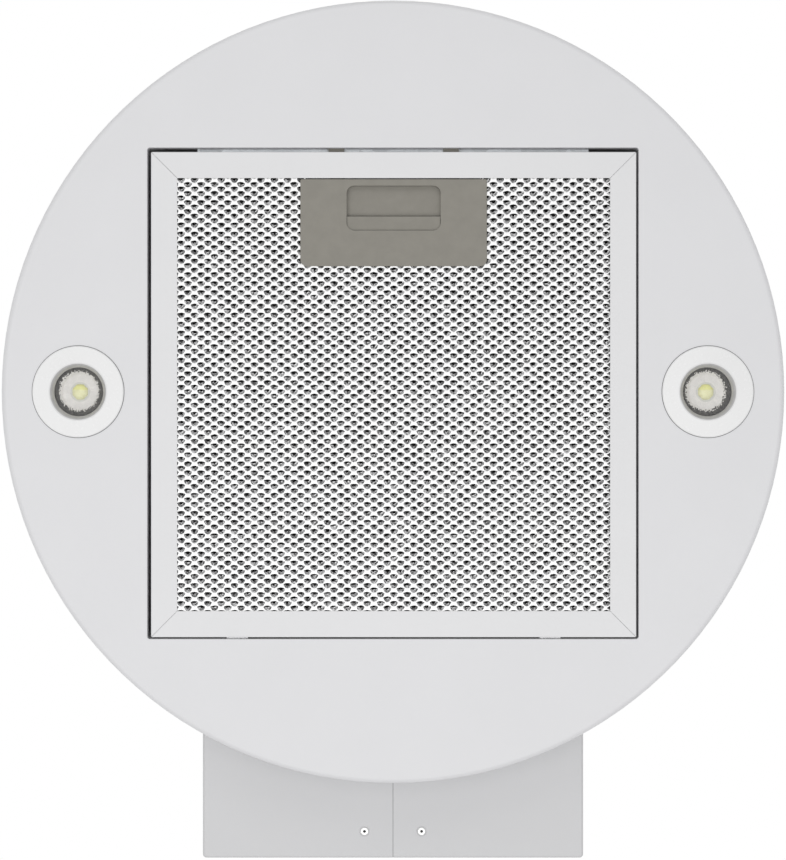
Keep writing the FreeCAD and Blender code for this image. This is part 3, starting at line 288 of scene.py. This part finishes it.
def mesh_layer(name, z_face, rise, materials, shift=(0.0, 0.0), flip=1, jitter=0.0, lip_rise=1.3 * MM):
    """One sheet of expanded metal. Each hole has a sheared lip on its rear side."""
    rng = random.Random(name)
    verts, faces, indices = [], [], []
    rows = int((window_high.y - window_low.y) / row_pitch)
    columns = int((window_high.x - window_low.x) / hole_pitch)
    for row in range(rows + 1):
        y = window_low.y + (row + shift[1]) * row_pitch
        for column in range(columns + 1):
            x = window_low.x + (column + shift[0] + 0.5 * (row % 2)) * hole_pitch
            if under_handle(x, y) or y > window_high.y or x > window_high.x:
                continue
            start = len(verts)
            for u, v in diamond:
                verts.append((x + u * hole_pitch, y + flip * v * row_pitch, z_face))
            for u, v in hole:
                sway = 1 + rng.uniform(-jitter, jitter)
                z = z_face + rise * max(0, v)
                verts.append((x + u * hole_pitch * sway, y + flip * v * row_pitch * sway, z))
            lean = rng.uniform(-0.07, 0.07)
            for k in shell_points:
                u, v = hole[k]
                z = z_face + lip_rise * (1 + rng.uniform(-0.2, 0.2))
                verts.append((x + (0.42 * u + lean) * hole_pitch, y + flip * (0.45 * v - 0.12) * row_pitch, z))
            for k in range(12):
                after = (k + 1) % 12
                faces.append((start + k, start + after, start + 12 + after, start + 12 + k))
                indices.append(0)
            for step in range(6):
                outer, after = shell_points[step], shell_points[step + 1]
                faces.append((start + 12 + outer, start + 12 + after, start + 25 + step, start + 24 + step))
                indices.append(1)
    return new_piece(name, verts, faces, materials, indices)


# The face sheet's lips are grey as painted shade.
mesh_face = mesh_layer("filter_mesh_face", mesh_low.z + 0.15 * MM, 0.25 * MM, [strand_face, strand_edge_painted_shade],
                       jitter=0.06)
# The middle sheet is grey with near-black lips, as painted shade deeper in the filter.
mesh_middle = mesh_layer("filter_mesh_middle", mesh_low.z + 3.0 * MM, 0.5 * MM,
                         [strand_inner_painted_shade, strand_back_painted_shade], shift=(0.36, 0.45), flip=-1, jitter=0.22)
# The back sheet is near-black throughout, as painted shade.
mesh_back = mesh_layer("filter_mesh_back", mesh_low.z + 6.0 * MM, 0.6 * MM,
                       [strand_back_painted_shade, strand_back_painted_shade], shift=(0.62, 0.2), jitter=0.1)
for layer in (mesh_face, mesh_middle, mesh_back):
    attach(layer, "filter")
    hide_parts("filter_mesh")


# ---------------------------------------------------------------- lamps
def polar(radius, angle, centre, z):
    return (centre.x + radius * math.cos(angle), centre.y + radius * math.sin(angle), z)


def lamp_dish(name, centre, lens_top, board):
    """A bowl of small facets: a pale floor round the light chip and a steep rim coloured near-black as a painted
    dark reflection.
    """
    rng = random.Random(name)
    rings = [7.6, 10.0, 12.2, 13.4, 14.1, 14.8, 15.5, 16.2, 17.0, 18.0, 19.2]
    steps = 84
    floor_end, drop_start = 12.8, 13.2
    verts, faces, indices = [], [], []
    depth = board - lens_top - 0.3 * MM
    for number, radius in enumerate(rings):
        fraction = max(0.0, (radius - drop_start) / (rings[-1] - drop_start))
        for step in range(steps):
            angle = 2 * math.pi * (step + 0.5 * (number % 2)) / steps
            wander = rng.uniform(-0.28, 0.28) if radius > floor_end and number < len(rings) - 1 else 0.0
            z = board - 0.15 * MM - depth * fraction + rng.uniform(-0.22, 0.05) * MM
            z = max(z, lens_top + 0.05 * MM)
            verts.append(polar((radius + wander) * MM, angle, centre, z))
    painted_dark_side = -0.9              # the painted dark reflection on the rim is widest towards the rear right
    for number in range(len(rings) - 1):
        for step in range(steps):
            here = number * steps
            there = here + steps
            after = (step + 1) % steps
            angle = 2 * math.pi * step / steps
            edge = 15.3 - 0.9 * math.cos(angle + painted_dark_side)
            if number % 2:
                triangles = [(here + step, there + after, here + after), (here + step, there + step, there + after)]
            else:
                triangles = [(here + step, there + step, here + after), (there + step, there + after, here + after)]
            for triangle in triangles:
                faces.append(triangle)
                # Faces beyond this wavy edge take the near-black rim colour, a painted dark reflection.
                dark = rings[number] + 0.4 > edge + rng.uniform(-1.1, 1.1)
                indices.append(1 if dark else 0)
    return new_piece(name, verts, faces, [dish_floor, dish_rim], indices)


def lamp_dome(name, centre, board):
    """The soft-edged blob of light-converting resin over the chip, nearly eight-sided."""
    verts, faces = [], []
    radius, height, rings, steps, sides = 6.3 * MM, 3.0 * MM, 10, 64, 8
    for k in range(rings):
        turn = math.pi / 2 * k / rings
        for step in range(steps):
            angle = 2 * math.pi * step / steps
            sector = (angle + math.pi / sides) % (2 * math.pi / sides) - math.pi / sides
            flat = math.cos(math.pi / sides) / math.cos(sector)
            reach = radius * (0.3 + 0.7 * flat) * math.cos(turn)
            verts.append(polar(reach, angle, centre, board - height * math.sin(turn)))
    for k in range(rings - 1):
        for step in range(steps):
            after = (step + 1) % steps
            faces.append((k * steps + step, (k + 1) * steps + step, (k + 1) * steps + after, k * steps + after))
    top = len(verts)
    verts.append((centre.x, centre.y, board - height))
    for step in range(steps):
        faces.append(((rings - 1) * steps + step, top, (rings - 1) * steps + (step + 1) % steps))
    indices = []
    for face in faces:
        middle_y = sum(verts[k][1] for k in face) / len(face)
        indices.append(1 if middle_y < centre.y - 1.6 * MM else 0)
    return new_piece(name, verts, faces, [dome_phosphor, dome_deep], indices, smooth=True)


for side in ("left", "right"):
    low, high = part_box("lamp_bezel_" + side)
    lens_low, lens_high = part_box("lamp_lens_" + side)
    board_low, board_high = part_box("led_module_" + side)
    centre = (low + high) / 2
    board = board_low.z + 0.8 * MM
    window, throat, skin = 21.5 * MM, 18.9 * MM, 0.15 * MM
    trim = lathe("lamp_trim_" + side, centre, [
        (window - 0.02 * MM, underside - 1.45 * MM),
        (throat - 0.02 * MM, underside + 4.0 * MM),
        (throat - 0.02 * MM, underside + 4.9 * MM),
        (throat - skin, underside + 4.9 * MM),
        (throat - skin, underside + 3.9 * MM),
        (window - skin, underside - 1.45 * MM),
    ], [lamp_trim], steps=96)
    # A thin dark ring at the bezel's outer edge, painted shadow where the bezel meets the canopy.
    shadow_gap_ring = lathe("lamp_shadow_gap_ring_" + side, centre, [
        (34.5 * MM, underside - 0.35 * MM), (34.5 * MM, underside - 0.03 * MM),
        (35.35 * MM, underside - 0.03 * MM), (35.45 * MM, underside - 0.18 * MM),
        (35.3 * MM, underside - 0.35 * MM),
    ], [shadow_gap_grey], steps=128)
    dish = lamp_dish("lamp_dish_" + side, centre, lens_high.z, board)
    dome = lamp_dome("lamp_dome_" + side, centre, board)
    for piece, slot in ((trim, "aluminium"), (dish, "reflector"), (dome, "led_board"),
                        (shadow_gap_ring, "rubber")):
        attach(piece, "hood")
    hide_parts("lamp_reflectors")


# ---------------------------------------------------------------- latch springs
def folded_strips(name, low, high):
    """Two strips folded to and fro, which shorten as the latch slides back."""
    strip, reach, folds = 0.5 * MM, 2.2 * MM, 12
    fold = (high.y - low.y - strip) / folds
    verts, faces = [], []
    for x in (low.x + reach, high.x - reach):
        first = len(verts)
        for k in range(folds + 1):
            sway = -reach if k % 2 else reach
            for y in (low.y + k * fold, low.y + k * fold + strip):
                for z in (low.z, high.z):
                    verts.append((x + sway, y, z))
        for k in range(folds):
            here = first + 4 * k
            for a, b in ((0, 1), (1, 3), (3, 2), (2, 0)):
                faces.append((here + a, here + 4 + a, here + 4 + b, here + b))
        last = first + 4 * folds
        faces.append((first, first + 1, first + 3, first + 2))
        faces.append((last, last + 2, last + 3, last + 1))
    return new_piece(name, verts, faces, [spring_steel])


springs_low, springs_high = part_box("latch_springs")
springs = folded_strips("latch_strip_springs", springs_low, springs_high)
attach(springs, "filter")
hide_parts("latch_springs")
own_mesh(springs)


# ---------------------------------------------------------------- foot seam, with a black strip inside as painted shade in the gap
foot_low, foot_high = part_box("lower_chimney_left")
seam_half, seam_drop = 0.13 * MM, 0.25 * MM
seam_front = canopy.y + canopy_radius - 18 * MM
seam_rear = foot_high.y - 0.6 * MM
seam_verts, seam_faces = [], []
for y in (seam_front, seam_rear):
    for x, z in ((-seam_half, seam_drop), (0, seam_drop - 0.05 * MM), (seam_half, seam_drop),
                 (seam_half, 0.9 * MM), (-seam_half, 0.9 * MM)):
        seam_verts.append((x, y, foot_low.z + z))
for k in range(5):
    seam_faces.append((k, (k + 1) % 5, 5 + (k + 1) % 5, 5 + k))
seam_faces += [(4, 3, 2, 1, 0), (5, 6, 7, 8, 9)]
# The black strip in the seam is painted shade in the gap between the chimney halves.
seam_shade_strip = new_piece("foot_seam_painted_shade_strip", seam_verts, seam_faces, [rubber])
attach(seam_shade_strip, "hood")


# ---------------------------------------------------------------- rivet mandrels, near-black as painted shade in the bores
rivets_low, rivets_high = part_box("chimney_rivets")
rivet_row = (rivets_low.y + rivets_high.y) / 2
for side, sign in (("left", -1), ("right", 1)):
    head = 3.1 * MM
    place = Vector((sign * ((rivets_high.x - rivets_low.x) / 2 - head), rivet_row, 0))
    bottom = rivets_low.z
    # A mandrel stub in each rivet's bore, coloured near-black as painted shade in the bore.
    mandrel_shade = lathe("rivet_mandrel_painted_shade_" + side, place, [
        (0.02 * MM, bottom + 0.45 * MM), (0.75 * MM, bottom + 0.5 * MM), (1.02 * MM, bottom + 0.75 * MM),
        (1.02 * MM, bottom + 1.9 * MM), (0.02 * MM, bottom + 1.9 * MM),
    ], [black_steel], steps=32)
    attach(mandrel_shade, "hood")


# ---------------------------------------------------------------- stage, light and camera
floor_z = -3.2
floor_half = 30.0
floor_mesh = bpy.data.meshes.new("stage_floor")
floor_mesh.from_pydata([(-floor_half, -floor_half, floor_z), (floor_half, -floor_half, floor_z),
                        (floor_half, floor_half, floor_z), (-floor_half, floor_half, floor_z)],
                       [], [(0, 1, 2, 3)])
floor = bpy.data.objects.new("stage_floor", floor_mesh)
bpy.context.scene.collection.objects.link(floor)
floor_paint = finish("stage_floor", (0.62, 0.62, 0.62), 0.9, mottle=0.01, mottle_size=0.9,
                     grain=20 * MM, depth=0.1 * MM)
floor_tree = floor_paint.node_tree
one_side = floor_tree.nodes.new("ShaderNodeMixShader")
clear = floor_tree.nodes.new("ShaderNodeBsdfTransparent")
facing = floor_tree.nodes.new("ShaderNodeNewGeometry")
floor_tree.links.new(facing.outputs["Backfacing"], one_side.inputs[0])
floor_tree.links.new(shader_of(floor_paint).outputs["BSDF"], one_side.inputs[1])
floor_tree.links.new(clear.outputs["BSDF"], one_side.inputs[2])
floor_tree.links.new(one_side.outputs["Shader"], floor_tree.nodes["Material Output"].inputs["Surface"])
floor_mesh.materials.append(floor_paint)

world = bpy.data.worlds.new("studio")
bpy.context.scene.world = world
world.use_nodes = True
sky = world.node_tree
seen = sky.nodes["Background"]
seen.inputs["Color"].default_value = (1, 1, 1, 1)
seen.inputs["Strength"].default_value = 1.0
soft = sky.nodes.new("ShaderNodeBackground")
soft.inputs["Color"].default_value = (1, 1, 1, 1)
soft.inputs["Strength"].default_value = 0.74
path = sky.nodes.new("ShaderNodeLightPath")
camera_or_gloss = sky.nodes.new("ShaderNodeMath")
camera_or_gloss.operation = "MAXIMUM"
any_seen = sky.nodes.new("ShaderNodeMath")
any_seen.operation = "MAXIMUM"
pick = sky.nodes.new("ShaderNodeMixShader")
sky.links.new(path.outputs["Is Camera Ray"], camera_or_gloss.inputs[0])
sky.links.new(path.outputs["Is Glossy Ray"], camera_or_gloss.inputs[1])
sky.links.new(camera_or_gloss.outputs["Value"], any_seen.inputs[0])
sky.links.new(path.outputs["Is Transmission Ray"], any_seen.inputs[1])
sky.links.new(any_seen.outputs["Value"], pick.inputs[0])
sky.links.new(soft.outputs["Background"], pick.inputs[1])
sky.links.new(seen.outputs["Background"], pick.inputs[2])
sky.links.new(pick.outputs["Shader"], sky.nodes["World Output"].inputs["Surface"])


def area_light(name, place, aim, size, power):
    data = bpy.data.lights.new(name, "AREA")
    data.shape = "DISK"
    data.size = size
    data.energy = power
    light = bpy.data.objects.new(name, data)
    light.location = place
    light.rotation_euler = (Vector(aim) - Vector(place)).to_track_quat("-Z", "Y").to_euler()
    light.visible_camera = False
    bpy.context.scene.collection.objects.link(light)


middle = (0, canopy.y, underside)
area_light("key", (-0.10, 0.30, -2.9), middle, 2.4, 23.0)
area_light("fill", (-0.4, -1.7, -2.9), middle, 1.6, 7.5)

camera_data = bpy.data.cameras.new("camera")
camera = bpy.data.objects.new("camera", camera_data)
bpy.context.scene.collection.objects.link(camera)
bpy.context.scene.camera = camera
camera_distance = 2.0
frame_height = 2.194 * canopy_radius       # the view is a little longer than the canopy is wide
camera_data.sensor_width = 36.0
camera_data.lens = camera_data.sensor_width * camera_distance / frame_height
camera_data.clip_end = 30
camera.location = (0.0, canopy.y + 29.3 * MM, underside - camera_distance)
camera.rotation_euler = (math.pi, 0, 0)

scene = bpy.context.scene
scene.view_settings.view_transform = "Standard"
